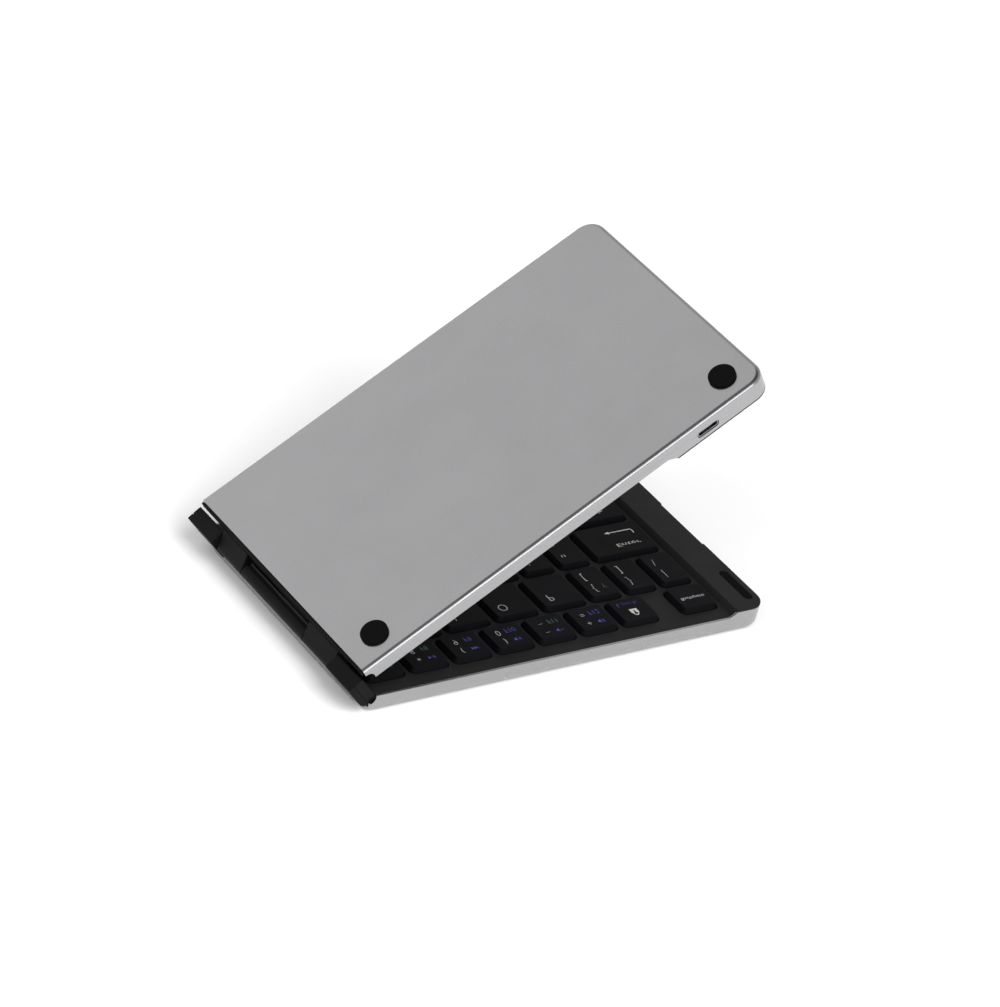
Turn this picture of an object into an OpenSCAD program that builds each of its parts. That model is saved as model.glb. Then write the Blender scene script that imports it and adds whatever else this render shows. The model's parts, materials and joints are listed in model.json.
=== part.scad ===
// Two-part folding keyboard: two thin metal pans with black key decks, joined by a barrel hinge.
// Each half is drawn flat in its own frame: X from the hinge axis to the outer end,
// Y along the hinge (number row at -Y), Z from the half's outer face to the plane where the halves meet.

/* [Halves] */
// Length of a half from the hinge axis to its outer end
half_len = 147.2; // [145:0.1:156]
// Width of a half along the hinge
half_wid = 88; // [86:0.5:96]
// Thickness of a half, from its outer face to the meeting plane
half_thk = 7.1; // [6.9:0.05:8]
// Gap that each closed half leaves to the meeting plane
close_gap = 0.1; // [0.05:0.05:0.3]
// Opening angle of the lid at rest
open_angle = 33.4; // [15:0.1:45]

/* [Shell] */
// Sheet thickness of the metal pans
wall_t = 0.8; // [0.6:0.1:1]
// Corner radius at the outer end, seen from above
corner_r = 5.7; // [5:0.1:8]
// Rounding between the outer face and the side walls
edge_r = 1.4; // [1.2:0.1:1.8]
// Distance of the base pan's end from the hinge axis
base_shell_x = 2.3; // [2:0.1:2.6]
// Distance of the lid pan's end from the hinge axis
lid_shell_x = 3.2; // [2.8:0.1:3.4]
// Height of the upturned lip at the hinge end of a pan
lip_h = 1.7; // [1.4:0.1:2]
// How far the base pan's hinge corners are cut back along X
corner_cut_x = 2; // [1:0.1:2.4]
// How far the base pan's hinge corners are cut back along Y
corner_cut_y = 7; // [4:0.5:7.5]
// Distance of the side walls' hinge ends from the axis
scoop_x = 5.7; // [5.5:0.1:6]
// Radius of the hollow at the side walls' hinge ends
scoop_r = 2.2; // [1.5:0.1:2.4]
// Depth of the finger notch in the base's outer end
notch_depth = 0.45; // [0.2:0.05:0.55]
// Width of the finger notch
notch_wid = 22; // [16:1:30]

/* [Deck] */
// Distance from the meeting plane down to the key deck
deck_drop = 2.2; // [2:0.05:2.4]
// Thickness of the deck moulding
deck_t = 1.2; // [1:0.1:1.4]
// Thickness of the end bars' flange, which covers the walls' edge
flange_t = 0.4; // [0.3:0.05:0.6]
// Gap between the deck and the pan's walls
deck_fit = 0.1; // [0.05:0.05:0.2]
// Length of the raised end bar on the base
base_bar = 11.3; // [10:0.1:14]
// Length of the raised end bar on the lid
lid_bar = 34.7; // [34:0.1:37]
// Length of the slope up to an end bar
bar_slope = 1; // [0.5:0.1:1.5]
// Length of the slope in the side walls' edge
wall_slope = 3; // [2:0.1:4]
// How far the side walls' slope starts before the bar's
wall_lead = 1.7; // [1:0.1:2]
// Free strip between the last key well and the bar's slope
bar_margin = 1.3; // [1:0.1:2]

/* [Keys] */
// Distance of the first key well from the hinge axis
key_x = 6; // [5.9:0.1:7]
// Free strip between the outer rows of wells and the deck's sides
row_margin = 4.45; // [4:0.05:5]
// Width of the web between two key wells
web = 1.2; // [1:0.1:1.5]
// Width of a letter key's well, next to the others in its row
letter_w = 16.2; // [15:0.1:18]
// Depth of a letter key's well, next to the other rows
letter_d = 15.8; // [14:0.1:17]
// Width of a number key's well
number_w = 14.05; // [13:0.05:15]
// Depth of a number key's well
number_d = 12.3; // [11:0.1:14]
// Depth of a space row key's well
space_d = 12.8; // [11:0.1:14]
// Width of a narrow punctuation key's well
narrow_w = 12; // [11:0.1:13]
// Width of the free place before the backspace key
blank_w = 5.75; // [4:0.05:7]
// Width of the backspace key's well
back_w = 13.9; // [12:0.1:16]
// Width of the enter key's well
enter_w = 24.8; // [20:0.1:28]
// Width of the shift key's well on the base
shift_w = 40.6; // [34:0.1:44]
// Width of each half of the space bar
space_w = 38.9; // [34:0.1:44]
// Width of the other keys' wells in the base's space row
menu_w = 16.54; // [14:0.01:18]
// Width of the number wells on the lid
lid_number_w = 13.857; // [13:0.001:15]
// Width of the tab key's well
tab_w = 15; // [13:0.1:18]
// Width of the caps key's well
caps_w = 12.8; // [12:0.1:16]
// Width of the shift key's well on the lid
lid_shift_w = 17.2; // [14:0.1:20]
// Width of the other keys' wells in the lid's space row
lid_menu_w = 15.125; // [13:0.005:17]
// Start of the first letter row after the first well
stagger_top = 2.2; // [0:0.1:3]
// Start of the second letter row on the base after the first well
stagger_mid = 6.8; // [0:0.1:7.5]
// Gap between a key and its well
key_gap = 0.3; // [0.2:0.05:0.4]
// Height of the key tops over the deck at rest
key_rise = 1.7; // [1.5:0.05:1.75]
// Inward lean of a key's sides over that height
key_lean = 0.8; // [0.5:0.1:1]
// Corner radius of a key's foot
key_r = 1.9; // [1.5:0.1:2.2]
// Wall and top thickness of a key cap
cap_t = 1; // [0.8:0.1:1.1]
// Travel of a pressed key
travel = 1.3; // [1:0.05:1.4]
// Radius of the stem under a key
stem_r = 1.3; // [1:0.1:1.5]
// Gap between a stem and its rubber dome
stem_gap = 0.2; // [0.1:0.05:0.3]
// Wall of a rubber dome
dome_t = 1.1; // [0.8:0.1:1.2]
// Depth to which a stem sits in its dome at rest
dome_grip = 0.2; // [0.1:0.05:0.3]
// Gap between a fully pressed stem and the switch membrane
press_gap = 0.1; // [0.05:0.05:0.2]
// Thickness of the steel support plates
plate_t = 0.4; // [0.3:0.05:0.5]
// Thickness of the switch membranes
membrane_t = 0.3; // [0.2:0.05:0.35]

/* [Hinge] */
// Radius of the hinge barrel
barrel_r = 2.3; // [2.2:0.05:2.4]
// Free gap around a barrel and between its knuckles
knuckle_gap = 0.3; // [0.2:0.05:0.4]
// Length of the near end block
near_block = 12.5; // [10:0.1:14]
// Length of the lid's near knuckle
near_knuckle = 15.8; // [12:0.1:18]
// Length of the base's middle knuckle
mid_knuckle = 33.1; // [26:0.1:36]
// Length of the lid's far knuckle
far_knuckle = 13.6; // [12:0.1:18]
// Length of the far end block
far_block = 13; // [10:0.1:14]
// Thickness of the end blocks
block_t = 5; // [4:0.1:5]
// Length of the end blocks across the hinge axis
block_len = 8.6; // [8:0.1:8.6]
// Lean of the end blocks, away from the base
block_lean = 41.6; // [35:0.1:45]
// Rounding of the end blocks' edges
block_r = 0.4; // [0.3:0.05:0.6]
// Width of the seam in the end blocks' outer faces
seam_w = 0.25; // [0.2:0.05:0.4]
// Depth of that seam
seam_d = 0.3; // [0.2:0.05:0.5]
// Distance of that seam from the blocks' outer side
seam_x = 1.9; // [1.5:0.1:2.5]
// Radius of the tubular hinge pins
pin_r = 1.1; // [1:0.05:1.2]
// Radius of the cable way through a pin
pin_bore_r = 0.6; // [0.5:0.05:0.65]
// Radial gap between a pin and the base's barrels
pin_seat = 0.02; // [0.01:0.01:0.03]
// Radial gap between a pin and the lid's knuckles
pin_run = 0.05; // [0.03:0.01:0.08]
// Length of a pin inside an end block and inside the middle knuckle
pin_reach = 8; // [6:0.5:10]
// Distance of the base hinge rail's face from the axis
rail_x = 2.1; // [1.9:0.05:2.2]
// Width of the hinge rails along X
rail_w = 3.1; // [2.9:0.05:3.2]
// Height of the end blocks' lower edge over the pan
block_foot = 2.2; // [2:0.05:2.4]
// Angle around the barrel where its arm meets it on the key side
arm_front = 30; // [20:1:45]
// Angle around the barrel where its arm meets it on the other side
arm_back = 45; // [30:1:60]
// Radius of the cable between the halves
cable_r = 0.45; // [0.35:0.05:0.48]

/* [Feet and pads] */
// Radius of a rubber foot
foot_r = 4.1; // [3.5:0.1:4.4]
// Height of a rubber foot
foot_h = 1; // [0.8:0.1:1.5]
// Distance of the outer feet's centres from the outer end
foot_end = 9.9; // [9:0.1:11]
// Distance of the inner feet's centres from the hinge axis
foot_hinge = 13; // [12:0.1:15]
// Distance of the feet's centres from the side walls
foot_side = 8.9; // [8:0.1:10]
// Bevel of a foot's lower rim
foot_bevel = 0.2; // [0.1:0.05:0.3]
// Length of the rubber pads on the base's end bar
pad_len = 15; // [12:0.5:18]
// Width of the pads
pad_wid = 3.2; // [2.5:0.1:3.5]
// Depth to which the pads are let into the bar
pad_sink = 0.6; // [0.4:0.05:0.7]
// Height of the pads over the bar
pad_rise = 0.05; // [0.02:0.01:0.08]
// Distance of the pads' centre line from the outer end
pad_end = 3.5; // [3:0.1:4]
// Distance of the pads' centres from the side walls
pad_side = 11.8; // [10:0.1:14]

/* [Inside] */
// Width of the charging slot
usb_w = 7.7; // [7.6:0.1:8]
// Height of the charging slot
usb_h = 2.3; // [2.2:0.1:2.5]
// Depth of the charging socket
usb_d = 5.5; // [5:0.1:6]
// Distance of the charging slot's centre from the meeting plane
usb_drop = 2.9; // [2.8:0.05:3.2]
// Distance of the charging slot's centre from the outer end
usb_end = 22.8; // [21:0.1:24]
// Thickness of the socket's metal shell
usb_t = 0.3; // [0.2:0.05:0.35]
// Gap between the socket and the openings around it
usb_gap = 0.2; // [0.1:0.05:0.3]
// Thickness of the circuit board
board_t = 0.8; // [0.6:0.1:1]
// Length of the circuit board along Y
board_len = 28; // [24:0.5:30]
// Width of the circuit board along X
board_wid = 20; // [18:0.5:21]
// Length of the battery along Y
battery_len = 44; // [36:0.5:46]
// Width of the battery along X
battery_wid = 28; // [24:0.5:29]
// Thickness of the battery
battery_t = 3.4; // [3:0.1:3.8]
// Side of the controller chip
chip_wid = 6; // [4:0.5:7]
// Thickness of the controller chip
chip_t = 0.7; // [0.5:0.1:1]
// Length of a closing magnet
magnet_len = 12; // [8:0.5:14]
// Width of a closing magnet
magnet_wid = 4; // [3:0.5:4.5]
// Thickness of a closing magnet
magnet_t = 1.4; // [1:0.1:1.8]
// Distance of the magnets' centre line from the outer end
magnet_end = 6.2; // [6:0.1:6.6]
// Distance between the centres of the two magnets of a half
magnet_pitch = 30; // [24:1:36]
// Shank radius of a case screw
screw_r = 0.8; // [0.7:0.05:0.9]
// Head radius of a case screw
screw_head_r = 1.5; // [1.4:0.1:1.7]
// Depth of a case screw's head in the pan
screw_head_t = 0.45; // [0.35:0.05:0.5]
// Length of a case screw's thread
screw_len = 4; // [3.5:0.1:4.5]

/* [Hidden] */
$fn = 48;
eps = 0.01;

// Heights over a half's outer face
deck_z = half_thk - deck_drop;
top_z = half_thk - close_gap;
rim_z = top_z - flange_t - eps;
plate_z = wall_t + plate_t;
membrane_z = plate_z + membrane_t;
key_top_z = deck_z + key_rise;
key_h = key_rise + deck_t;
key_foot_z = key_top_z - key_h;
stem_end_z = membrane_z + press_gap + travel;
dome_z = stem_end_z + dome_grip;

// Places along X
rail_end = rail_x + rail_w;
over_lip_z = lip_h + deck_fit;
deck_x = rail_end + deck_fit;
deck_end = half_len - wall_t - deck_fit;
deck_wid = half_wid - 2 * (wall_t + deck_fit);
base_bar_foot = half_len - base_bar - bar_slope;
lid_bar_foot = half_len - lid_bar - bar_slope;
base_field_end = base_bar_foot - bar_margin;
lid_field_end = lid_bar_foot - bar_margin;

// Sum of a list's first n values
function sum_to(list, n) = n <= 0 ? 0 : list[n - 1] + sum_to(list, n - 1);
// The given sizes, all scaled alike until they and the webs between them fill the room
function fit(sizes, room) = let (k = (room - (len(sizes) - 1) * web) / sum_to(sizes, len(sizes)))
    [for (size = sizes) size * k];

// Rows of keys, number row first: depths of their wells, and a row's low Y
row_depths = fit([number_d, letter_d, letter_d, letter_d, space_d], deck_wid - 2 * row_margin);
function row_y(r) = row_margin - deck_wid / 2 + sum_to(row_depths, r) + r * web;

// Wells of one row as [low X, high X]: the given widths, scaled to fill it from start to end
function wells(start, widths, end) = let (w = fit(widths, end - start))
    [for (i = [0 : len(w) - 1])
        [start + sum_to(w, i) + i * web, start + sum_to(w, i + 1) + i * web]];
// The same size n times
function times(n, size) = [for (i = [1 : n]) size];

// The base's number row has a free place before its last key
base_top_row = wells(key_x, concat(times(7, number_w), [blank_w, back_w]), base_field_end);
base_rows = [
    concat([for (i = [0 : 6]) base_top_row[i]], [base_top_row[8]]),
    wells(key_x + stagger_top, concat(times(5, letter_w), times(3, narrow_w)), base_field_end),
    wells(key_x + stagger_mid, concat(times(4, letter_w), times(2, narrow_w), [enter_w]),
        base_field_end),
    wells(key_x, concat(times(5, letter_w), [shift_w]), base_field_end),
    wells(key_x, concat([space_w], times(5, menu_w)), base_field_end)
];
lid_rows = [
    wells(key_x, times(7, lid_number_w), lid_field_end),
    wells(key_x + stagger_top, concat(times(5, letter_w), [tab_w]), lid_field_end),
    wells(key_x + 2 * stagger_top, concat(times(5, letter_w), [caps_w]), lid_field_end),
    wells(key_x, concat(times(5, letter_w), [lid_shift_w]), lid_field_end),
    wells(key_x, concat([space_w], times(4, lid_menu_w)), lid_field_end)
];

// Places along Y where the hinge's pieces meet: the blocks and knuckles share the half's width
barrel_k = half_wid / (near_block + near_knuckle + mid_knuckle + far_knuckle + far_block);
near_y = near_block * barrel_k - half_wid / 2;
mid_y = near_y + near_knuckle * barrel_k;
far_y = mid_y + mid_knuckle * barrel_k;
block_y = far_y + far_knuckle * barrel_k;
cable_y = (mid_y + far_y) / 2;

// The part stands on its feet, centred under its own outline
axis_z = foot_h + half_thk;
low_x = -block_r - (block_t / 2 - block_r) * cos(block_lean) - (block_len / 2 - block_r) * sin(block_lean);
centre_x = (low_x + half_len) / 2;

foot_y = half_wid / 2 - foot_side;
usb_x = half_len - usb_end;
usb_z = half_thk - usb_drop;
usb_tall = usb_h - 2 * usb_gap;
usb_wide = usb_w - 2 * usb_gap;
board_z = usb_z - usb_tall / 2 - board_t;
board_y = -deck_wid / 2 + deck_t + deck_fit;
board_x = usb_x - board_wid / 2;
battery_y = (board_len - battery_len) / 2;
battery_x = lid_bar_foot + bar_slope + web;
post_r = 1.4;
post_in = 2.2;

// Keys with a node of their own: node name, row, place in the row
KEYS = [
    ["key_7", 0, 0], ["key_8", 0, 1], ["key_9", 0, 2], ["key_0", 0, 3],
    ["key_minus", 0, 4], ["key_equals", 0, 5], ["key_lock", 0, 6], ["key_backspace", 0, 7],
    ["key_y", 1, 0], ["key_u", 1, 1], ["key_i", 1, 2], ["key_o", 1, 3], ["key_p", 1, 4],
    ["key_left_bracket", 1, 5], ["key_right_bracket", 1, 6], ["key_backslash", 1, 7],
    ["key_h", 2, 0], ["key_j", 2, 1], ["key_k", 2, 2], ["key_l", 2, 3],
    ["key_semicolon", 2, 4], ["key_quote", 2, 5], ["key_enter", 2, 6],
    ["key_n", 3, 0], ["key_m", 3, 1], ["key_comma", 3, 2], ["key_period", 3, 3],
    ["key_slash", 3, 4], ["key_shift", 3, 5]
];
LID_KEYS = [
    ["lid_keys_number_row", 0], ["lid_keys_tab_row", 1], ["lid_keys_caps_row", 2],
    ["lid_keys_shift_row", 3], ["lid_keys_space_row", 4]
];

metal = [0.72, 0.72, 0.73];
black = [0.13, 0.13, 0.14];
rubber = [0.08, 0.08, 0.08];
steel = [0.6, 0.6, 0.62];
film = [0.75, 0.78, 0.8];
pale = [0.85, 0.85, 0.82];
dark = [0.2, 0.2, 0.2];
silver = [0.8, 0.8, 0.82];
green = [0.05, 0.35, 0.15];

// Frames of the two halves
module base_place() {
    translate([-centre_x, 0, foot_h]) children();
}
module lid_place() {
    translate([-centre_x, 0, axis_z]) rotate([0, -open_angle, 0])
        mirror([0, 0, 1]) translate([0, 0, -half_thk]) children();
}

// A flat outline in X and Z, extruded along Y between two places
module along_y(y0, y1) {
    translate([0, y1, 0]) rotate([90, 0, 0]) linear_extrude(y1 - y0) children();
}
// A straight round bar along Y between two places, on the hinge axis
module axis_bar(r, y0, y1) {
    translate([0, y0, half_thk]) rotate([-90, 0, 0]) cylinder(r = r, h = y1 - y0);
}
// Plan of a half: straight at the hinge end, round corners at the outer end
module plan(x0, x1, w, r) {
    translate([x0, -w / 2]) square([x1 - r - x0, w]);
    translate([x1 - r - eps, -w / 2 + r]) square([r + eps, w - 2 * r]);
    for (s = [-1, 1]) translate([x1 - r, s * (w / 2 - r)]) circle(r);
}
// Section of a pan's outer corner: a block with a rounded lower edge
module corner_section() {
    square([corner_r - edge_r, half_thk]);
    translate([0, edge_r]) square([corner_r, half_thk - edge_r]);
    translate([corner_r - edge_r, edge_r]) circle(edge_r);
}
// Section across a pan: both lower edges rounded
module cross_section() {
    translate([-half_wid / 2, edge_r]) square([half_wid, half_thk - edge_r]);
    translate([-half_wid / 2 + edge_r, 0]) square([half_wid - 2 * edge_r, half_thk]);
    for (s = [-1, 1]) translate([s * (half_wid / 2 - edge_r), edge_r]) circle(edge_r);
}
// Outer body of a pan before it is hollowed
module pan_block(x0) {
    corner_y = half_wid / 2 - corner_r;
    translate([x0, 0, 0]) rotate([90, 0, 90])
        linear_extrude(half_len - corner_r - x0) cross_section();
    along_y(-corner_y, corner_y) translate([half_len - corner_r, 0]) corner_section();
    translate([half_len - corner_r, corner_y, 0]) rotate_extrude(angle = 90) corner_section();
    translate([half_len - corner_r, -corner_y, 0]) rotate([0, 0, -90])
        rotate_extrude(angle = 90) corner_section();
}
// Side view of what is cut away over a pan's walls
module over_walls(bar_foot) {
    slope_x = bar_foot - wall_lead;
    polygon([[-half_thk, deck_z], [slope_x, deck_z], [slope_x + wall_slope, rim_z],
        [half_len + half_thk, rim_z], [half_len + half_thk, 2 * half_thk], [-half_thk, 2 * half_thk]]);
    translate([0, lip_h + scoop_r + wall_t / 2]) {
        translate([-half_thk, -scoop_r]) square([half_thk + scoop_x - scoop_r, 2 * half_thk]);
        translate([scoop_x - scoop_r, 0]) circle(scoop_r);
        square([scoop_x, half_thk]);
    }
}
// A thin metal pan: floor, low walls, lip at the hinge end
module pan(x0, bar_foot) {
    difference() {
        pan_block(x0);
        translate([0, 0, wall_t]) linear_extrude(half_thk)
            plan(x0 + wall_t, half_len - wall_t, half_wid - 2 * wall_t, corner_r - wall_t);
        along_y(-half_wid, half_wid) over_walls(bar_foot);
        translate([x0 - wall_t, wall_t - half_wid / 2, lip_h])
            cube([2 * wall_t + eps, half_wid - 2 * wall_t, half_thk]);
    }
}
module base_shell() {
    color(metal) base_place() difference() {
        pan(base_shell_x, base_bar_foot);
        for (s = [-1, 1]) mirror([0, s < 0 ? 1 : 0, 0]) translate([0, 0, -half_thk])
            linear_extrude(3 * half_thk)
                polygon([[base_shell_x - eps, half_wid / 2 + eps],
                    [base_shell_x + corner_cut_x, half_wid / 2 + eps],
                    [base_shell_x - eps, half_wid / 2 - corner_cut_y]]);
        finger_notch();
        for (s = [-1, 1]) translate([half_len - foot_end, s * foot_y, 0]) screw_cut();
    }
}
// Shallow cut in the base's outer end
module finger_notch() {
    translate([half_len - notch_depth, -notch_wid / 2, lip_h]) cube([half_thk, notch_wid, half_thk]);
}
module lid_shell() {
    color(metal) lid_place() difference() {
        pan(lid_shell_x, lid_bar_foot);
        usb_cut(-half_wid, usb_w, usb_h);
        translate([half_len - foot_end, -foot_y, 0]) screw_cut();
    }
}
// Slot with round ends, in X and Z around the charging port's centre
module slot_section(w, h) {
    translate([usb_x, usb_z]) {
        for (s = [-1, 1]) translate([s * (w - h) / 2, 0]) circle(h / 2);
        translate([(h - w) / 2, -h / 2]) square([w - h, h]);
    }
}
// Opening for the charging plug through the -Y wall
module usb_cut(y0, w, h) {
    along_y(y0, usb_d - half_wid / 2) slot_section(w, h);
}
// Hole and counterbore for a case screw in a pan's floor
module screw_cut() {
    translate([0, 0, -eps]) cylinder(r = screw_head_r + deck_fit, h = screw_head_t + eps);
    cylinder(r = screw_r + deck_fit, h = half_thk);
}
module case_screw() {
    difference() {
        cylinder(r = screw_head_r, h = screw_head_t);
        translate([0, 0, -eps]) cylinder(r = screw_r / 2, h = screw_head_t / 2, $fn = 6);
    }
    translate([0, 0, screw_head_t - eps]) cylinder(r = screw_r, h = screw_len);
}

// Side view of a deck: flat over the keys, sloping up to the end bar
module deck_side(bar_foot, inset) {
    polygon([[deck_x - inset, wall_t - inset], [deck_end - inset, wall_t - inset],
        [deck_end - inset, top_z - inset], [bar_foot + bar_slope + inset / 2, top_z - inset],
        [bar_foot + inset / 2, deck_z - inset], [deck_x - inset, deck_z - inset]]);
}
// Black moulding with key wells, skirts that stand in the pan, and a hollow end bar with a flange
module deck(rows, bar_foot) {
    inner_r = corner_r - wall_t - deck_fit;
    difference() {
        union() {
            intersection() {
                linear_extrude(half_thk) plan(deck_x, deck_end, deck_wid, inner_r);
                along_y(-half_wid, half_wid) deck_side(bar_foot, 0);
            }
            translate([0, 0, top_z - flange_t]) linear_extrude(flange_t)
                plan(bar_foot - wall_lead + wall_slope, half_len, half_wid, corner_r);
        }
        intersection() {
            translate([0, 0, -half_thk]) linear_extrude(2 * half_thk)
                plan(deck_x - deck_t, deck_end - deck_t, deck_wid - 2 * deck_t, inner_r - deck_t);
            along_y(-half_wid, half_wid) deck_side(bar_foot, deck_t);
        }
        for (r = [0 : 4], s = rows[r]) translate([s[0], row_y(r), wall_t])
            well(s[1] - s[0], row_depths[r]);
    }
}
// Cut for one key well, with rounded corners
module well(w, d) {
    r = key_r + key_gap;
    linear_extrude(half_thk) {
        translate([r, 0]) square([w - 2 * r, d]);
        translate([0, r]) square([w, d - 2 * r]);
        for (x = [r, w - r], y = [r, d - r]) translate([x, y]) circle(r);
    }
}
// Post that takes a case screw, standing on the pan's floor
module screw_post() {
    translate([0, 0, wall_t]) cylinder(r = screw_head_r + deck_t / 2, h = half_thk - wall_t - deck_t);
}
module base_deck() {
    color(black) base_place() difference() {
        union() {
            deck(base_rows, base_bar_foot);
            for (s = [-1, 1]) translate([half_len - foot_end, s * foot_y, 0]) screw_post();
        }
        finger_notch();
        for (s = [-1, 1]) {
            translate([half_len - foot_end, s * foot_y, 0]) cylinder(r = screw_r, h = half_thk - deck_t);
            translate([half_len - pad_end, s * (half_wid / 2 - pad_side), top_z - pad_sink])
                pad_shape(0, half_thk);
        }
    }
}
module lid_deck() {
    color(black) lid_place() difference() {
        union() {
            deck(lid_rows, lid_bar_foot);
            translate([half_len - foot_end, -foot_y, 0]) screw_post();
            board_posts() translate([0, 0, board_z + board_t])
                cylinder(r = post_r, h = top_z - deck_t / 2 - board_z - board_t);
        }
        translate([half_len - foot_end, -foot_y, 0]) cylinder(r = screw_r, h = half_thk - deck_t);
        board_posts() cylinder(r = screw_r, h = half_thk - deck_t);
        usb_cut(-half_wid, usb_w + 2 * usb_gap, usb_h + 2 * usb_gap);
    }
}
// Places of the posts that hold the circuit board
module board_posts() {
    for (x = [post_in, board_wid - post_in]) translate([board_x + x, board_y + board_len - post_in, 0])
        children();
}

// Rubber pad with round ends, let into the base's end bar
module pad_shape(gap, h) {
    w = pad_wid - 2 * gap;
    run = pad_len - pad_wid;
    linear_extrude(h) {
        translate([-w / 2, -run / 2]) square([w, run]);
        for (s = [-1, 1]) translate([0, s * run / 2]) circle(w / 2);
    }
}
module end_pads() {
    color(rubber) base_place()
        for (s = [-1, 1])
            translate([half_len - pad_end, s * (half_wid / 2 - pad_side), top_z - pad_sink])
                pad_shape(deck_fit, pad_sink + pad_rise);
}

// Steel plate under the keys
module plate(bar_foot) {
    translate([deck_x, -deck_wid / 2 + deck_t + deck_fit, wall_t])
        cube([bar_foot - deck_x, deck_wid - 2 * (deck_t + deck_fit), plate_t]);
}
module base_plate() { color(steel) base_place() plate(base_bar_foot); }
module lid_plate() { color(steel) lid_place() plate(lid_bar_foot); }

// Switch membrane on the plate
module membrane(bar_foot) {
    translate([deck_x + web, -deck_wid / 2 + deck_t + web, plate_z])
        cube([bar_foot - deck_x - 2 * web, deck_wid - 2 * (deck_t + web), membrane_t]);
}
module base_membrane() { color(film) base_place() membrane(base_bar_foot); }
module lid_membrane() { color(film) lid_place() membrane(lid_bar_foot); }

// Centre of a well
function well_mid(rows, r, i) =
    [(rows[r][i][0] + rows[r][i][1]) / 2, row_y(r) + row_depths[r] / 2, 0];

// Rubber domes, one under each key
module domes(rows) {
    for (r = [0 : 4], i = [0 : len(rows[r]) - 1]) translate(well_mid(rows, r, i))
        difference() {
            translate([0, 0, membrane_z])
                cylinder(r1 = stem_r + stem_gap + dome_t, r2 = stem_r + stem_gap + dome_t / 2,
                    h = dome_z - membrane_z);
            cylinder(r = stem_r + stem_gap, h = half_thk);
        }
}
module base_domes() { color(pale) base_place() domes(base_rows); }
module lid_domes() { color(pale) lid_place() domes(lid_rows); }

// Key cap: straight foot in the well, leaning sides above the deck, hollow, with a stem
module key_side(w) {
    polygon([[-w / 2, 0], [w / 2, 0], [w / 2, deck_t], [w / 2 - key_lean, key_h],
        [key_lean - w / 2, key_h], [-w / 2, deck_t]]);
}
module key_cap(w, d) {
    x = w / 2 - key_r;
    y = d / 2 - key_r;
    difference() {
        union() {
            rotate([90, 0, 0]) linear_extrude(2 * y, center = true) key_side(w);
            rotate([90, 0, 90]) linear_extrude(2 * x, center = true) key_side(d);
            for (sx = [-x, x], sy = [-y, y]) translate([sx, sy, 0]) {
                cylinder(r = key_r, h = deck_t);
                translate([0, 0, deck_t]) cylinder(r1 = key_r, r2 = key_r - key_lean, h = key_rise);
            }
        }
        translate([-w / 2 + cap_t, -d / 2 + cap_t, -eps])
            cube([w - 2 * cap_t, d - 2 * cap_t, key_h - cap_t + eps]);
    }
    translate([0, 0, stem_end_z - key_foot_z])
        cylinder(r = stem_r, h = key_top_z - stem_end_z - cap_t / 2);
}
module key_at(rows, r, i) {
    s = rows[r][i];
    translate(well_mid(rows, r, i)) translate([0, 0, key_foot_z])
        key_cap(s[1] - s[0] - 2 * key_gap, row_depths[r] - 2 * key_gap);
}
module base_key(r, i) { color(black) base_place() key_at(base_rows, r, i); }
module key_row(rows, r) { for (i = [0 : len(rows[r]) - 1]) key_at(rows, r, i); }
module base_keys_space_row() { color(black) base_place() key_row(base_rows, 4); }
module lid_key_row(r) { color(black) lid_place() key_row(lid_rows, r); }

// Rubber feet on the outer faces
module foot() {
    translate([0, 0, -foot_h]) cylinder(r1 = foot_r - foot_bevel, r2 = foot_r, h = foot_bevel);
    translate([0, 0, foot_bevel - foot_h]) cylinder(r = foot_r, h = foot_h - foot_bevel);
}
module base_feet() {
    color(rubber) base_place()
        for (x = [foot_hinge, half_len - foot_end], s = [-1, 1]) translate([x, s * foot_y, 0]) foot();
}
module lid_feet() {
    color(rubber) lid_place()
        for (x = [foot_hinge, half_len - foot_end]) translate([x, -foot_y, 0]) foot();
}
module base_screws() {
    color(steel) base_place()
        for (s = [-1, 1]) translate([half_len - foot_end, s * foot_y, 0]) case_screw();
}
module lid_screws() {
    color(steel) lid_place() {
        translate([half_len - foot_end, -foot_y, 0]) case_screw();
        board_posts() translate([0, 0, board_z - screw_head_t]) {
            cylinder(r = screw_head_r, h = screw_head_t);
            translate([0, 0, screw_head_t - eps])
                cylinder(r = screw_r, h = top_z - deck_t - board_z);
        }
    }
}

// Closing magnets under the end bars
module magnets() {
    for (s = [-1, 1])
        translate([half_len - magnet_end - magnet_wid / 2, (s * magnet_pitch - magnet_len) / 2,
            top_z - deck_t - magnet_t]) cube([magnet_wid, magnet_len, magnet_t]);
}
module base_magnets() { color(steel) base_place() magnets(); }
module lid_magnets() { color(steel) lid_place() magnets(); }

// Side view of a rail: stands on the pan's floor and reaches over its lip
module rail_side(face_x, shell_x) {
    polygon([[face_x, over_lip_z], [shell_x + wall_t + deck_fit, over_lip_z],
        [shell_x + wall_t + deck_fit, wall_t], [rail_end, wall_t], [rail_end, deck_z], [face_x, deck_z]]);
}
// Side view of the arm that joins a barrel to its rail
module arm_side(face_x, low_z) {
    polygon([[face_x, low_z], [rail_end, low_z], [rail_end, deck_z],
        [barrel_r * cos(arm_front), half_thk - barrel_r * sin(arm_front)], [0, half_thk],
        [-barrel_r * cos(arm_back), half_thk - barrel_r * sin(arm_back)]]);
}
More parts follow.
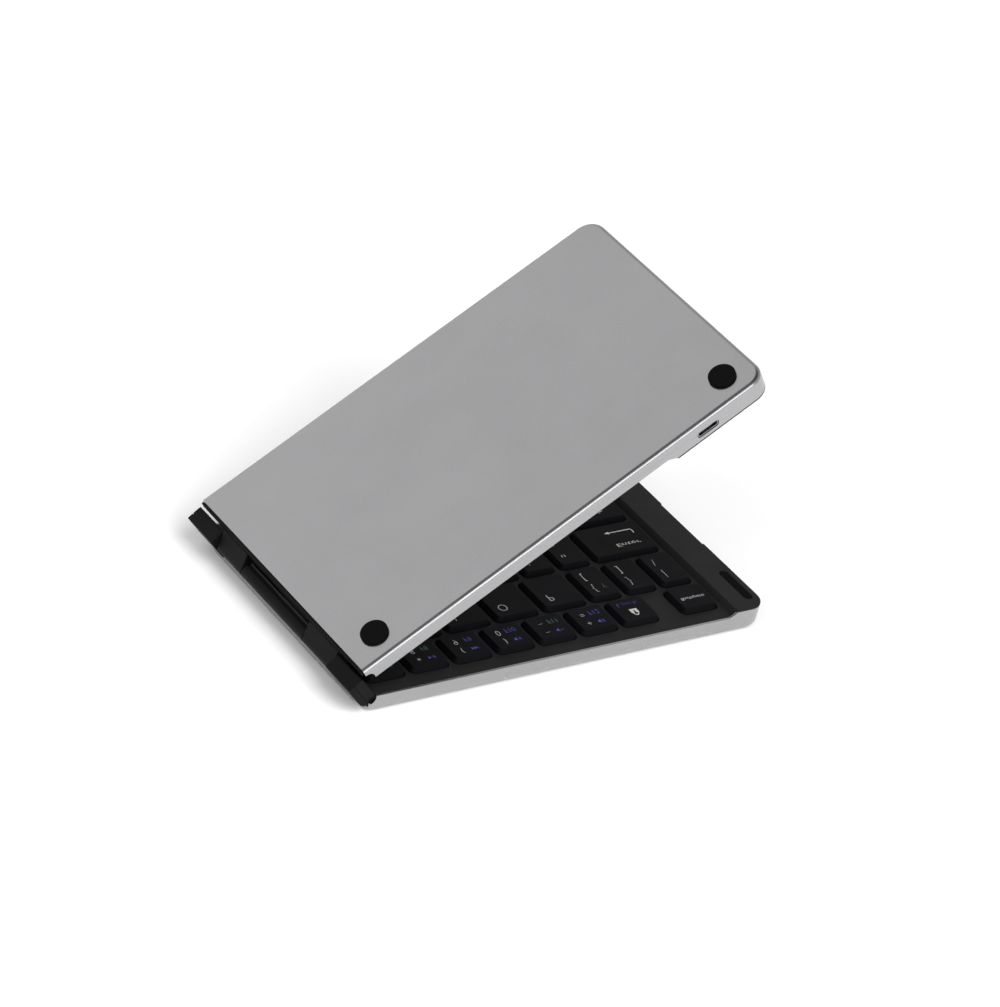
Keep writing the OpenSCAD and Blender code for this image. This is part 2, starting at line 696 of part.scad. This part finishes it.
// A barrel on the axis with its arm
module barrel(y0, y1) {
    axis_bar(barrel_r, y0, y1);
    along_y(y0, y1) arm_side(rail_x, over_lip_z);
}
module base_hinge() {
    color(black) base_place() difference() {
        union() {
            along_y(near_y, block_y) rail_side(rail_x, base_shell_x);
            barrel(mid_y, far_y);
        }
        axis_bar(pin_r + pin_seat, -half_wid, half_wid);
        cable_branch(pin_bore_r);
    }
}
module lid_hinge() {
    face_x = lid_shell_x - wall_t;
    apron_z = wall_t / 2;
    apron_end = half_thk - norm([block_t, block_len]) / 2;
    color(black) lid_place() difference() {
        union() {
            along_y(near_y + knuckle_gap, block_y - knuckle_gap) {
                rail_side(face_x, lid_shell_x);
                translate([face_x, apron_z]) square([wall_t - deck_fit, half_thk / 2]);
            }
            along_y(-deck_wid / 2, deck_wid / 2)
                translate([face_x, apron_z]) square([wall_t - deck_fit, apron_end - apron_z]);
            barrel(near_y + knuckle_gap, mid_y - knuckle_gap);
            barrel(far_y + knuckle_gap, block_y - knuckle_gap);
        }
        axis_bar(pin_r + pin_run, -half_wid, half_wid);
    }
}
// Side view of an end block: a leaning slab with rounded edges around the hinge axis
module block_side() {
    translate([0, half_thk]) rotate(block_lean) hull()
        for (x = [-1, 1], z = [-1, 1])
            translate([x * (block_t / 2 - block_r), z * (block_len / 2 - block_r)]) circle(block_r);
}
// End block, drawn for the far end, with a seam in its outer face,
// cut back where the pan's side wall passes
module end_block(len) {
    y1 = half_wid / 2;
    difference() {
        along_y(y1 - len, y1) {
            block_side();
            polygon([[base_shell_x - lip_h / 2, block_foot], [rail_end, block_foot],
                [rail_end, deck_z], [0, half_thk]]);
        }
        translate([0, y1, half_thk]) rotate([0, -block_lean, 0])
            translate([seam_x - block_t / 2, -seam_d, -block_len])
                cube([seam_w, half_thk, 2 * block_len]);
        translate([base_shell_x + wall_t, y1 - wall_t - deck_fit, 0])
            cube([half_thk, half_thk, deck_z + deck_fit]);
        axis_bar(pin_r + pin_seat, y1 - len - eps, y1 - len + pin_reach);
    }
}
module hinge_blocks() {
    color(black) base_place() {
        mirror([0, 1, 0]) end_block(near_block * barrel_k);
        end_block(far_block * barrel_k);
    }
}
// Tubular pins from the end blocks through the lid's knuckles into the middle knuckle
module hinge_pins() {
    color(steel) base_place()
        for (y = [[near_y - pin_reach, mid_y + pin_reach], [far_y - pin_reach, block_y + pin_reach]])
            difference() {
                axis_bar(pin_r, y[0], y[1]);
                axis_bar(pin_bore_r, y[0] - eps, y[1] + eps);
            }
}
// Round bar from the hinge axis down to the base's membrane
module cable_branch(r) {
    run = deck_x + web;
    drop = half_thk - membrane_z - cable_r;
    translate([0, cable_y, half_thk]) rotate([0, 90 + atan2(drop, run), 0])
        cylinder(r = r, h = norm([run, drop]));
}
// Cable between the halves: along the axis inside the near pin, then down into the base
module hinge_cable() {
    color(dark) base_place() {
        axis_bar(cable_r, (near_y + mid_y) / 2, cable_y);
        translate([0, cable_y, half_thk]) sphere(cable_r);
        cable_branch(cable_r);
    }
}

// Electronics in the lid's end bar
module battery() {
    color(silver) lid_place() translate([battery_x, battery_y, wall_t])
        cube([battery_wid, battery_len, battery_t]);
}
module main_board() {
    color(green) lid_place() {
        difference() {
            translate([board_x, board_y, board_z]) cube([board_wid, board_len, board_t]);
            board_posts() cylinder(r = screw_r + deck_fit, h = half_thk);
        }
        translate([board_x + board_wid / 3, board_y + board_len / 2, board_z - chip_t])
            cube([chip_wid, chip_wid, chip_t]);
    }
}
module usb_socket() {
    tongue_t = usb_tall / 4;
    y0 = usb_gap - half_wid / 2;
    color(steel) lid_place() {
        difference() {
            along_y(y0, y0 + usb_d) slot_section(usb_wide, usb_tall);
            along_y(y0 - eps, y0 + usb_d - usb_t)
                slot_section(usb_wide - 2 * usb_t, usb_tall - 2 * usb_t);
        }
        translate([usb_x - usb_wide / 4, y0 + 2 * usb_t, usb_z - tongue_t / 2])
            cube([usb_wide / 2, usb_d - 3 * usb_t + eps, tongue_t]);
    }
}

base_shell();
base_deck();
base_plate();
base_membrane();
base_domes();
base_feet();
base_screws();
base_magnets();
end_pads();
base_hinge();
hinge_blocks();
hinge_pins();
hinge_cable();
base_keys_space_row();
lid_shell();
lid_deck();
lid_plate();
lid_membrane();
lid_domes();
lid_feet();
lid_screws();
lid_magnets();
lid_hinge();
battery();
main_board();
usb_socket();
for (k = KEYS) base_key(k[1], k[2]);
for (k = LID_KEYS) lid_key_row(k[1]);
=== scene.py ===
"""Folding keyboard: finishes, printed key legends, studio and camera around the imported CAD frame."""

import json
import math

import bmesh
import bpy
from mathutils import Matrix, Vector


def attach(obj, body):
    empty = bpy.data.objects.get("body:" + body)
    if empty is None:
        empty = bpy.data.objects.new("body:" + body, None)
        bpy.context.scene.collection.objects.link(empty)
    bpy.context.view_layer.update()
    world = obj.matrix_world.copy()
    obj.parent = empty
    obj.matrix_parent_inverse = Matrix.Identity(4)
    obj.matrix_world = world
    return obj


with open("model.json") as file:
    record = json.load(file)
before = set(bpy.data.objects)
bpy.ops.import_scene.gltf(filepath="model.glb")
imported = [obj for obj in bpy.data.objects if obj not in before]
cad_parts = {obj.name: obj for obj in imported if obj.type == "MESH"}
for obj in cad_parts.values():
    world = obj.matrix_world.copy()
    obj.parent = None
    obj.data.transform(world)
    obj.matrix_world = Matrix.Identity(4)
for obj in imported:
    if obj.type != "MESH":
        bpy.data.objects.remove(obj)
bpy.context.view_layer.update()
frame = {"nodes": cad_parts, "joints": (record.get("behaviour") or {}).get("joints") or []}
scene = bpy.context.scene

MM = 0.001  # scene units in a millimetre

# ---------------------------------------------------------------- camera

PHOTO_SIZE = (1000, 1007)
FOCAL_PX = 4487.1
SENSOR = 36.0  # mm
CAMERA_PLACE = (-0.75015, -0.82123, 0.71867)  # m
CAMERA_TURN = (57.364, -12.547, -34.531)  # degrees
CLIP_START = 0.01  # m


def add_camera():
    """The camera that sees the model as the photograph does."""
    data = bpy.data.cameras.new("photo_camera")
    data.sensor_width = SENSOR
    data.lens = FOCAL_PX * SENSOR / max(PHOTO_SIZE)
    data.clip_start = CLIP_START
    camera = bpy.data.objects.new("photo_camera", data)
    camera.location = CAMERA_PLACE
    camera.rotation_euler = [math.radians(a) for a in CAMERA_TURN]
    scene.collection.objects.link(camera)
    scene.camera = camera


# ---------------------------------------------------------------- materials

NOISE_LOW, NOISE_HIGH = 0.3, 0.7  # the span that noise mostly fills


class Finish:
    """A principled material whose textures are measured in millimetres."""

    def __init__(self, name, roughness, metallic=0.0, **sockets):
        self.material = bpy.data.materials.new(name)
        self.material.use_nodes = True
        self.tree = self.material.node_tree
        self.shader = self.tree.nodes["Principled BSDF"]
        self.shader.inputs["Roughness"].default_value = roughness
        self.shader.inputs["Metallic"].default_value = metallic
        for socket, value in sockets.items():
            self.shader.inputs[socket.replace("_", " ")].default_value = value
        self.place = self.add("ShaderNodeMapping", Scale=(1 / MM,) * 3)
        self.link(self.add("ShaderNodeTexCoord").outputs["Object"], self.place, "Vector")

    def add(self, kind, **inputs):
        """A new node with these input values."""
        node = self.tree.nodes.new(kind)
        for socket, value in inputs.items():
            node.inputs[socket].default_value = value
        return node

    def link(self, output, node, socket):
        """Joins an output to the node's socket of this name."""
        self.tree.links.new(output, node.inputs[socket])

    def noise(self, size, detail=2.0, stretch=(1, 1, 1)):
        """Noise whose blotches are about size millimetres across, from 0 to 1."""
        squash = self.add("ShaderNodeMapping", Scale=[s / size for s in stretch])
        self.link(self.place.outputs["Vector"], squash, "Vector")
        texture = self.add("ShaderNodeTexNoise", Scale=1.0, Detail=detail)
        self.link(squash.outputs["Vector"], texture, "Vector")
        return texture.outputs["Fac"]

    def between(self, factor, low, high):
        """A number that goes from low to high over the span of the noise."""
        node = self.tree.nodes.new("ShaderNodeMapRange")
        spans = {"From Min": NOISE_LOW, "From Max": NOISE_HIGH, "To Min": low, "To Max": high}
        for socket, value in spans.items():
            node.inputs[socket].default_value = value
        self.link(factor, node, "Value")
        return node.outputs["Result"]

    def blend(self, factor, low, high):
        """A colour that goes from low to high over the span of the noise."""
        ramp = self.tree.nodes.new("ShaderNodeValToRGB")
        ends = ramp.color_ramp.elements
        ends[0].position, ends[1].position = NOISE_LOW, NOISE_HIGH
        ends[0].color, ends[1].color = (*low, 1), (*high, 1)
        self.link(factor, ramp, "Fac")
        return ramp.outputs["Color"]

    def colour(self, output):
        """Sets the base colour."""
        self.link(output, self.shader, "Base Color")

    def roughness(self, output):
        """Sets the roughness."""
        self.link(output, self.shader, "Roughness")

    def bump(self, height, depth, strength):
        """Relief from a height of 0 to 1, depth millimetres deep, on top of any earlier one."""
        node = self.add("ShaderNodeBump", Strength=strength, Distance=depth * MM)
        self.link(height, node, "Height")
        earlier = self.shader.inputs["Normal"].links
        if earlier:
            self.link(earlier[0].from_socket, node, "Normal")
        self.link(node.outputs["Normal"], self.shader, "Normal")


def scaled(colour, k):
    """The colour k times as bright, no brighter than white."""
    return tuple(min(1.0, c * k) for c in colour)


def anodised(name, colour):
    """Fine-blasted, anodised aluminium with faint handling marks."""
    f = Finish(name, roughness=0.27, metallic=1.0)
    clouds = f.noise(38, detail=3)
    f.colour(f.blend(clouds, scaled(colour, 0.98), scaled(colour, 1.02)))
    f.roughness(f.between(f.noise(11, detail=4), 0.25, 0.29))
    f.bump(f.noise(0.35, detail=2), 0.006, 0.7)
    return f.material


def moulded(name, colour, roughness, grain, depth, specular):
    """Injection-moulded plastic with an etched texture of this grain and depth in millimetres."""
    f = Finish(name, roughness=roughness, Specular_IOR_Level=specular)
    f.colour(f.blend(f.noise(24, detail=3), scaled(colour, 0.88), scaled(colour, 1.12)))
    f.roughness(f.between(f.noise(7, detail=4), roughness - 0.05, roughness + 0.05))
    f.bump(f.noise(grain, detail=2), depth, 0.6)
    return f.material


def rubber(name, colour):
    """Matt rubber with fine dust in its pores."""
    f = Finish(name, roughness=0.82, Specular_IOR_Level=0.04)
    dust = f.noise(0.6, detail=3)
    f.colour(f.blend(dust, colour, scaled(colour, 1.5)))
    f.bump(dust, 0.02, 0.5)
    return f.material


def rolled_steel(name, colour):
    """Cold-rolled sheet with its rolling lines along X."""
    f = Finish(name, roughness=0.35, metallic=1.0)
    lines = f.noise(0.5, detail=3, stretch=(0.03, 1, 1))
    f.colour(f.blend(lines, scaled(colour, 0.9), scaled(colour, 1.08)))
    f.roughness(f.between(lines, 0.28, 0.42))
    f.bump(lines, 0.01, 0.4)
    return f.material


TRACK_WIDTH = 0.04  # of a grid cell
GRID_SCALE = 0.12  # grid cells in a millimetre


def printed_film(name, colour, track):
    """Clear film printed with a grid of conductive tracks."""
    f = Finish(name, roughness=0.25)
    bricks = f.add("ShaderNodeTexBrick", Scale=1.0)
    bricks.inputs["Color1"].default_value = (*colour, 1)
    bricks.inputs["Color2"].default_value = (*scaled(colour, 0.93), 1)
    bricks.inputs["Mortar"].default_value = (*track, 1)
    bricks.inputs["Mortar Size"].default_value = TRACK_WIDTH
    size = f.add("ShaderNodeMapping", Scale=(GRID_SCALE,) * 3)
    f.link(f.place.outputs["Vector"], size, "Vector")
    f.link(size.outputs["Vector"], bricks, "Vector")
    f.colour(bricks.outputs["Color"])
    f.bump(f.noise(3), 0.02, 0.4)
    return f.material


def silicone(name, colour):
    """Milky, slightly translucent silicone."""
    f = Finish(name, roughness=0.45, Subsurface_Weight=0.3, Subsurface_Scale=0.002)
    f.colour(f.blend(f.noise(2), scaled(colour, 0.92), colour))
    f.bump(f.noise(0.8), 0.02, 0.3)
    return f.material


def foil(name, colour):
    """Crinkled battery foil."""
    f = Finish(name, roughness=0.3, metallic=1.0)
    folds = f.noise(5, detail=4)
    f.colour(f.blend(folds, scaled(colour, 0.85), colour))
    f.bump(folds, 0.15, 0.6)
    return f.material


def ink(name, colour):
    """Pad-printed ink, thin in places."""
    f = Finish(name, roughness=0.55)
    f.colour(f.blend(f.noise(0.7, detail=3), scaled(colour, 0.75), colour))
    f.bump(f.noise(0.3), 0.004, 0.5)
    return f.material


ALUMINIUM = anodised("anodised_aluminium", (0.395, 0.395, 0.402))
DECK = moulded("deck_plastic", (0.0145, 0.0135, 0.0135), 0.5, grain=0.45, depth=0.02, specular=0.06)
KEY = moulded("key_plastic", (0.0037, 0.0037, 0.0046), 0.48, grain=0.3, depth=0.012, specular=0.04)
HINGE = moulded("hinge_plastic", (0.0055, 0.005, 0.005), 0.45, grain=0.5, depth=0.012, specular=0.07)
RUBBER = rubber("foot_rubber", (0.0028, 0.0028, 0.0028))
STEEL = rolled_steel("rolled_steel", (0.55, 0.55, 0.56))
PORT = rolled_steel("port_steel", (0.30, 0.30, 0.31))
FILM = printed_film("membrane_film", (0.50, 0.55, 0.58), (0.10, 0.10, 0.11))
DOME = silicone("dome_silicone", (0.80, 0.80, 0.76))
FOIL = foil("battery_foil", (0.70, 0.70, 0.72))
BOARD = printed_film("circuit_board", (0.02, 0.16, 0.06), (0.05, 0.30, 0.12))
JACKET = rubber("cable_jacket", (0.02, 0.02, 0.02))
WHITE_INK = ink("white_ink", (0.50, 0.50, 0.48))
BLUE_INK = ink("blue_ink", (0.045, 0.052, 0.27))
GREEN_INK = ink("green_ink", (0.045, 0.10, 0.09))

FINISH_OF_SLOT = {
    "anodised_shell": ALUMINIUM,
    "black_deck": DECK,
    "black_hinge": HINGE,
    "key_plastic": KEY,
    "steel": STEEL,
    "membrane_film": FILM,
    "dome_rubber": DOME,
    "foot_rubber": RUBBER,
    "cable_jacket": JACKET,
    "battery_foil": FOIL,
    "board": BOARD,
}

# Rounded edges, in millimetres, by material slot
EDGE_OF_SLOT = {
    "anodised_shell": 0.12,
    "black_deck": 0.18,
    "black_hinge": 0.18,
    "key_plastic": 0.32,
    "foot_rubber": 0.25,
}
WELD_DISTANCE = 0.002  # mm
SHARP_ANGLE = 28  # degrees between two faces from which their edge is rounded


def dress_cad_nodes():
    """Gives each CAD node its finish, and rounds its sharp edges a little."""
    for name, node in frame["nodes"].items():
        slot = node.data.materials[0].name.split(".")[0]
        node.data.materials[0] = PORT if name == "usb_socket" else FINISH_OF_SLOT[slot]
        if slot not in EDGE_OF_SLOT:
            continue
        weld = node.modifiers.new("weld", "WELD")
        weld.merge_threshold = WELD_DISTANCE * MM
        bevel = node.modifiers.new("soft_edges", "BEVEL")
        bevel.width = EDGE_OF_SLOT[slot] * MM
        bevel.segments = 2
        bevel.limit_method = "ANGLE"
        bevel.angle_limit = math.radians(SHARP_ANGLE)
        bevel.use_clamp_overlap = True
        shading = node.modifiers.new("even_shading", "WEIGHTED_NORMAL")
        shading.keep_sharp = True


# ---------------------------------------------------------------- the keys' tops

hinge = next(j for j in frame["joints"] if j["name"] == "lid_hinge")
HINGE_PLACE = Vector(hinge["pos_m"])
LID_TURN = Matrix.Rotation(math.radians(hinge["range_deg"][0]), 4, "Y")


def key_spans(node, to_local):
    """Low and high X of each key of a row, in its half's own frame."""
    mesh = frame["nodes"][node].data
    xs = [(to_local @ v.co).x for v in mesh.vertices]
    sides = sorted(
        (min(xs[i] for i in p.vertices), max(xs[i] for i in p.vertices)) for p in mesh.polygons
    )
    spans = [list(sides[0])]
    for low, high in sides:
        if low > spans[-1][1]:
            spans.append([low, high])
        spans[-1][1] = max(spans[-1][1], high)
    return spans


def row_tops(node, lid=False):
    """A frame on the top of each key of a row: X along its legend, Y up it, Z out of the key."""
    turn = LID_TURN if lid else Matrix.Identity(4)
    to_row = Matrix.Translation(HINGE_PLACE) @ turn
    to_local = to_row.inverted()
    corners = [to_local @ v.co for v in frame["nodes"][node].data.vertices]
    y = (min(c.y for c in corners) + max(c.y for c in corners)) / 2
    out = -1 if lid else 1
    z = min(c.z for c in corners) if lid else max(c.z for c in corners)
    # The photograph is a mirror image, so this frame is left-handed and mirrors the legends
    axes = Matrix(((out, 0, 0), (0, -1, 0), (0, 0, out))).to_4x4()
    return [
        to_row @ Matrix.Translation(((low + high) / 2, y, z)) @ axes
        for low, high in key_spans(node, to_local)
    ]


# ---------------------------------------------------------------- legends

CAP_HEIGHT = 0.729  # height of a capital in the built-in font, for size 1
PRINT_LIFT = 0.02  # mm over the key's top
THIN = -0.022  # how much thinner than the built-in font the strokes are, for size 1
THIN_SMALL = -0.01  # the same for small print


def text_shape(body, height, width=None, thin=THIN):
    """Outline mesh of a short text, centred, in millimetres: (points, faces)."""
    curve = bpy.data.curves.new("legend", "FONT")
    curve.body = body
    curve.size = height / CAP_HEIGHT
    curve.offset = thin * curve.size
    curve.resolution_u = 3
    text = bpy.data.objects.new("legend", curve)
    mesh = text.to_mesh()
    points = [v.co.copy() for v in mesh.vertices]
    faces = [list(p.vertices) for p in mesh.polygons]
    text.to_mesh_clear()
    bpy.data.objects.remove(text)
    bpy.data.curves.remove(curve)
    middle = [(min(p[i] for p in points) + max(p[i] for p in points)) / 2 for i in (0, 1)]
    wide = max(p.x for p in points) - min(p.x for p in points)
    k = width / wide if width else 1
    return [Vector(((p.x - middle[0]) * k, p.y - middle[1], 0)) for p in points], faces


def shape(*polygons):
    """Flat polygons given as lists of (x, y) in millimetres: (points, faces)."""
    points, faces = [], []
    for polygon in polygons:
        faces.append(list(range(len(points), len(points) + len(polygon))))
        points += [Vector((x, y, 0)) for x, y in polygon]
    return points, faces


def bar(x0, y0, x1, y1):
    """The corners of an upright rectangle."""
    return [(x0, y0), (x1, y0), (x1, y1), (x0, y1)]


def arrow_shape(turn=0, size=1.0):
    """A solid triangle that points along X, turned by so many degrees."""
    c, s = math.cos(math.radians(turn)), math.sin(math.radians(turn))
    corners = ((0.6, 0), (-0.5, 0.6), (-0.5, -0.6))
    return shape([(size * (x * c - y * s), size * (x * s + y * c)) for x, y in corners])


def joined(*shapes):
    """Several shapes as one, each given as (shape, x, y)."""
    points, faces = [], []
    for (more, outline), x, y in shapes:
        faces += [[i + len(points) for i in face] for face in outline]
        points += [p + Vector((x, y, 0)) for p in more]
    return points, faces


def return_arrow():
    """The enter key's arrow: a long line with a short upstroke at its right end."""
    return shape(
        [(-5.1, 0), (-3.3, 0.62), (-3.3, -0.62)],
        bar(-3.4, -0.17, 5.1, 0.17),
        bar(4.76, -0.17, 5.1, 1.9),
    )


def padlock():
    """A closed padlock with a keyhole left out of its body."""
    ring = [(math.cos(math.radians(a)), math.sin(math.radians(a))) for a in range(0, 181, 20)]
    outside = [(1.05 * c, 0.2 + 1.25 * s) for c, s in ring]
    inside = [(0.68 * c, 0.2 + 0.88 * s) for c, s in ring]
    return shape(
        outside + inside[::-1],
        bar(-1.35, -1.65, -0.28, 0.25),
        bar(0.28, -1.65, 1.35, 0.25),
        bar(-0.3, -1.65, 0.3, -0.9),
    )


def speaker(extra):
    """A loudspeaker with a mark beside it: a cross, a minus or waves."""
    cone = [(-1.3, -0.35), (-0.9, -0.35), (-0.3, -0.85), (-0.3, 0.85), (-0.9, 0.35), (-1.3, 0.35)]
    marks = {
        "mute": [
            [(0.2, -0.5), (0.35, -0.6), (1.2, 0.5), (1.05, 0.6)],
            [(0.2, 0.5), (0.35, 0.6), (1.2, -0.5), (1.05, -0.6)],
        ],
        "down": [bar(0.2, -0.12, 1.1, 0.12)],
        "up": [bar(0.2, -0.6, 0.4, 0.6), bar(0.75, -0.8, 0.95, 0.8)],
    }
    return shape(cone, *marks[extra])


def player(kind):
    """A back, play or forward mark."""
    if kind == "play":
        pause = shape(bar(-0.1, -0.6, 0.15, 0.6), bar(0.4, -0.6, 0.65, 0.6))
        return joined((arrow_shape(), -0.7, 0), (pause, 0.5, 0))
    turn = 180 if kind == "back" else 0
    step = math.cos(math.radians(turn))
    end_bar = shape(bar(-0.1, -0.6, 0.1, 0.6))
    return joined(
        (arrow_shape(turn), -0.8 * step, 0),
        (arrow_shape(turn), 0.2 * step, 0),
        (end_bar, step, 0),
    )


def print_legend(name, body, marks):
    """One thin printed piece: marks are (frame on a key's top, shape, x, y, ink material)."""
    mesh = bpy.data.meshes.new(name)
    bm = bmesh.new()
    inks = []
    for top, (points, faces), x, y, material in marks:
        if material not in inks:
            inks.append(material)
        lifted = [Vector((p.x + x, p.y + y, PRINT_LIFT)) * MM for p in points]
        placed = [bm.verts.new(top @ p) for p in lifted]
        for face in faces:
            made = bm.faces.new([placed[i] for i in face])
            made.material_index = inks.index(material)
            made.normal_update()
            if made.normal.dot(top.col[2].to_3d()) < 0:
                made.normal_flip()
    bm.to_mesh(mesh)
    bm.free()
    for material in inks:
        mesh.materials.append(material)
    piece = bpy.data.objects.new(name, mesh)
    scene.collection.objects.link(piece)
    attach(piece, body)


def dual(lower, upper, height=3.2):
    """Two white marks, one over the other, on a punctuation key."""
    return [
        (text_shape(lower, height), -2.1, -2.8, WHITE_INK),
        (text_shape(upper, height), -2.1, 2.9, WHITE_INK),
    ]


def digit(lower, upper, label, icon=None, tint=BLUE_INK):
    """A number key: digit and symbol in white, a function label in tint, its mark in blue."""
    marks = [
        (text_shape(lower, 2.5), -2.35, -1.7, WHITE_INK),
        (text_shape(upper, 2.5), -2.35, 2.3, WHITE_INK),
        (text_shape(label, 2.0, thin=THIN_SMALL), 2.2, -2.1, tint),
    ]
    if icon:
        marks.append((icon, 2.1, 2.3, BLUE_INK))
    return marks


def letter(character):
    """One white letter in the corner of its key."""
    return [(text_shape(character, 3.2), -3.2, 3.1, WHITE_INK)]


def word(body, width, x=0.0, y=0.0, height=1.5):
    """A white word this many millimetres wide."""
    return [(text_shape(body, height, width, thin=THIN_SMALL), x, y, WHITE_INK)]


BASE_KEYS = {
    "key_7": digit("7", "&", "F7", player("back")),
    "key_8": digit("8", "*", "F8", player("play"), GREEN_INK),
    "key_9": digit("9", "(", "F9", player("forward")),
    "key_0": digit("0", ")", "F10", speaker("mute")),
    "key_minus": digit("\u2013", "\u2013", "F11", speaker("down"), GREEN_INK),
    "key_equals": digit("=", "+", "F12", speaker("up")),
    "key_lock": [
        (padlock(), -0.3, 1.7, WHITE_INK),
        (text_shape("Lock", 1.7, 7.4), -0.3, -2.5, BLUE_INK),
    ],
    "key_backspace": word("Backspace", 8.6, y=0.5, height=1.3),
    "key_left_bracket": [*dual("[", "{"), (text_shape("Y", 2.2), 1.6, 2.6, GREEN_INK)],
    "key_right_bracket": dual("]", "}"),
    "key_backslash": dual("\\", "|"),
    "key_semicolon": dual(";", ":", 4.0),
    "key_quote": dual("'", '"', 4.4),
    "key_comma": dual(",", "<"),
    "key_period": dual(".", ">"),
    "key_slash": dual("/", "?"),
    "key_enter": [
        *word("Enter", 9.0, 3.0, 3.3, height=1.6),
        (return_arrow(), 3.1, -3.15, WHITE_INK),
    ],
    "key_shift": word("Shift", 8.0, 9.0, 3.0, height=2.0),
}
for character in "yuiophjklnm":
    BASE_KEYS["key_" + character] = letter(character.upper())

SPACE_ROW = [
    [],
    word("Alt", 4.4),
    word("Ctrl", 5.0),
    [(arrow_shape(180, 1.6), 0, 0, WHITE_INK)],
    [(arrow_shape(90, 1.4), 0, 2.4, WHITE_INK), (arrow_shape(270, 1.4), 0, -2.4, WHITE_INK)],
    [(arrow_shape(0, 1.6), 0, 0, WHITE_INK)],
]

LID_KEYS = {
    "lid_keys_number_row": [
        digit("6", "^", "F6"),
        digit("5", "%", "F5"),
        digit("4", "$", "F4"),
        digit("3", "#", "F3"),
        digit("2", "@", "F2"),
        digit("1", "!", "F1"),
        word("Esc", 5.0, y=0.5),
    ],
    "lid_keys_tab_row": [*map(letter, "TREWQ"), word("Tab", 5.2, y=3.1, height=2.0)],
    "lid_keys_caps_row": [*map(letter, "GFDSA"), word("Caps", 6.4, y=3.1, height=2.0)],
    "lid_keys_shift_row": [*map(letter, "BVCXZ"), word("Shift", 7.0, y=3.1, height=2.0)],
    "lid_keys_space_row": [
        [],
        word("Alt", 4.4),
        word("Opt", 4.6),
        word("Ctrl", 5.0),
        word("Fn", 3.0),
    ],
}


def print_all_legends():
    """The legends of every key, one piece for each CAD node of keys."""
    for node, marks in BASE_KEYS.items():
        top = row_tops(node)[0]
        print_legend("legend_" + node, node, [(top, *mark) for mark in marks])
    rows = {"base_keys_space_row": SPACE_ROW, **LID_KEYS}
    for node, row in rows.items():
        tops = row_tops(node, lid=node.startswith("lid"))
        marks = [(top, *mark) for top, key in zip(tops, row) for mark in key]
        print_legend("legend_" + node, node, marks)


# ---------------------------------------------------------------- studio

FLOOR_HALF = 6.0  # m
LIGHT_DISTANCE = 3.0  # m
SKY_LEVELS = ((0.15, 0.85), (0.5, 0.62), (0.77, 0.58), (0.88, 0.14))  # (height, brightness)

def add_floor():
    """A wide, pale, even floor."""
    mesh = bpy.data.meshes.new("floor")
    corners = [(x, y, 0) for x, y in bar(-FLOOR_HALF, -FLOOR_HALF, FLOOR_HALF, FLOOR_HALF)]
    mesh.from_pydata(corners, [], [(0, 1, 2, 3)])
    f = Finish("floor_paper", roughness=0.9, Specular_IOR_Level=0.0)
    f.colour(f.blend(f.noise(400), (0.855, 0.855, 0.855), (0.87, 0.87, 0.87)))
    mesh.materials.append(f.material)
    floor = bpy.data.objects.new("floor", mesh)
    scene.collection.objects.link(floor)


def add_light(name, azimuth, elevation, size, power, mirrored=True):
    """A square softbox that looks at the model, seen in reflections if mirrored.

    Azimuth 0 is +X and 90 is +Y.
    """
    a, e = math.radians(azimuth), math.radians(elevation)
    direction = Vector((math.cos(a) * math.cos(e), math.sin(a) * math.cos(e), math.sin(e)))
    place = direction * LIGHT_DISTANCE
    data = bpy.data.lights.new(name, "AREA")
    data.size = size
    data.energy = power
    light = bpy.data.objects.new(name, data)
    light.location = place
    light.rotation_euler = place.to_track_quat("Z", "Y").to_euler()
    light.visible_glossy = mirrored
    scene.collection.objects.link(light)


def add_sky():
    """A white studio, darker overhead."""
    world = bpy.data.worlds.new("studio")
    world.use_nodes = True
    scene.world = world
    tree = world.node_tree
    direction = tree.nodes.new("ShaderNodeTexCoord")
    split = tree.nodes.new("ShaderNodeSeparateXYZ")
    ramp = tree.nodes.new("ShaderNodeValToRGB")
    stops = ramp.color_ramp.elements
    stops[0].position, stops[0].color = 0.0, (1, 1, 1, 1)
    stops[1].position, stops[1].color = 1.0, (0.1, 0.1, 0.1, 1)
    for height, level in SKY_LEVELS:
        stop = stops.new(height)
        stop.color = (level, level, level, 1)
    tree.links.new(direction.outputs["Generated"], split.inputs["Vector"])
    tree.links.new(split.outputs["Z"], ramp.inputs["Fac"])
    tree.links.new(ramp.outputs["Color"], tree.nodes["Background"].inputs["Color"])
    tree.nodes["Background"].inputs["Strength"].default_value = 1.0


add_camera()
dress_cad_nodes()
print_all_legends()
add_floor()
add_sky()
add_light("key_light", azimuth=-96, elevation=53, size=2.0, power=78, mirrored=False)
add_light("front_light", azimuth=-94, elevation=27, size=1.3, power=15)
add_light("back_light", azimuth=114, elevation=46, size=2.2, power=6)
add_light("fill_light", azimuth=190, elevation=38, size=2.0, power=34, mirrored=False)
scene.view_settings.view_transform = "Standard"
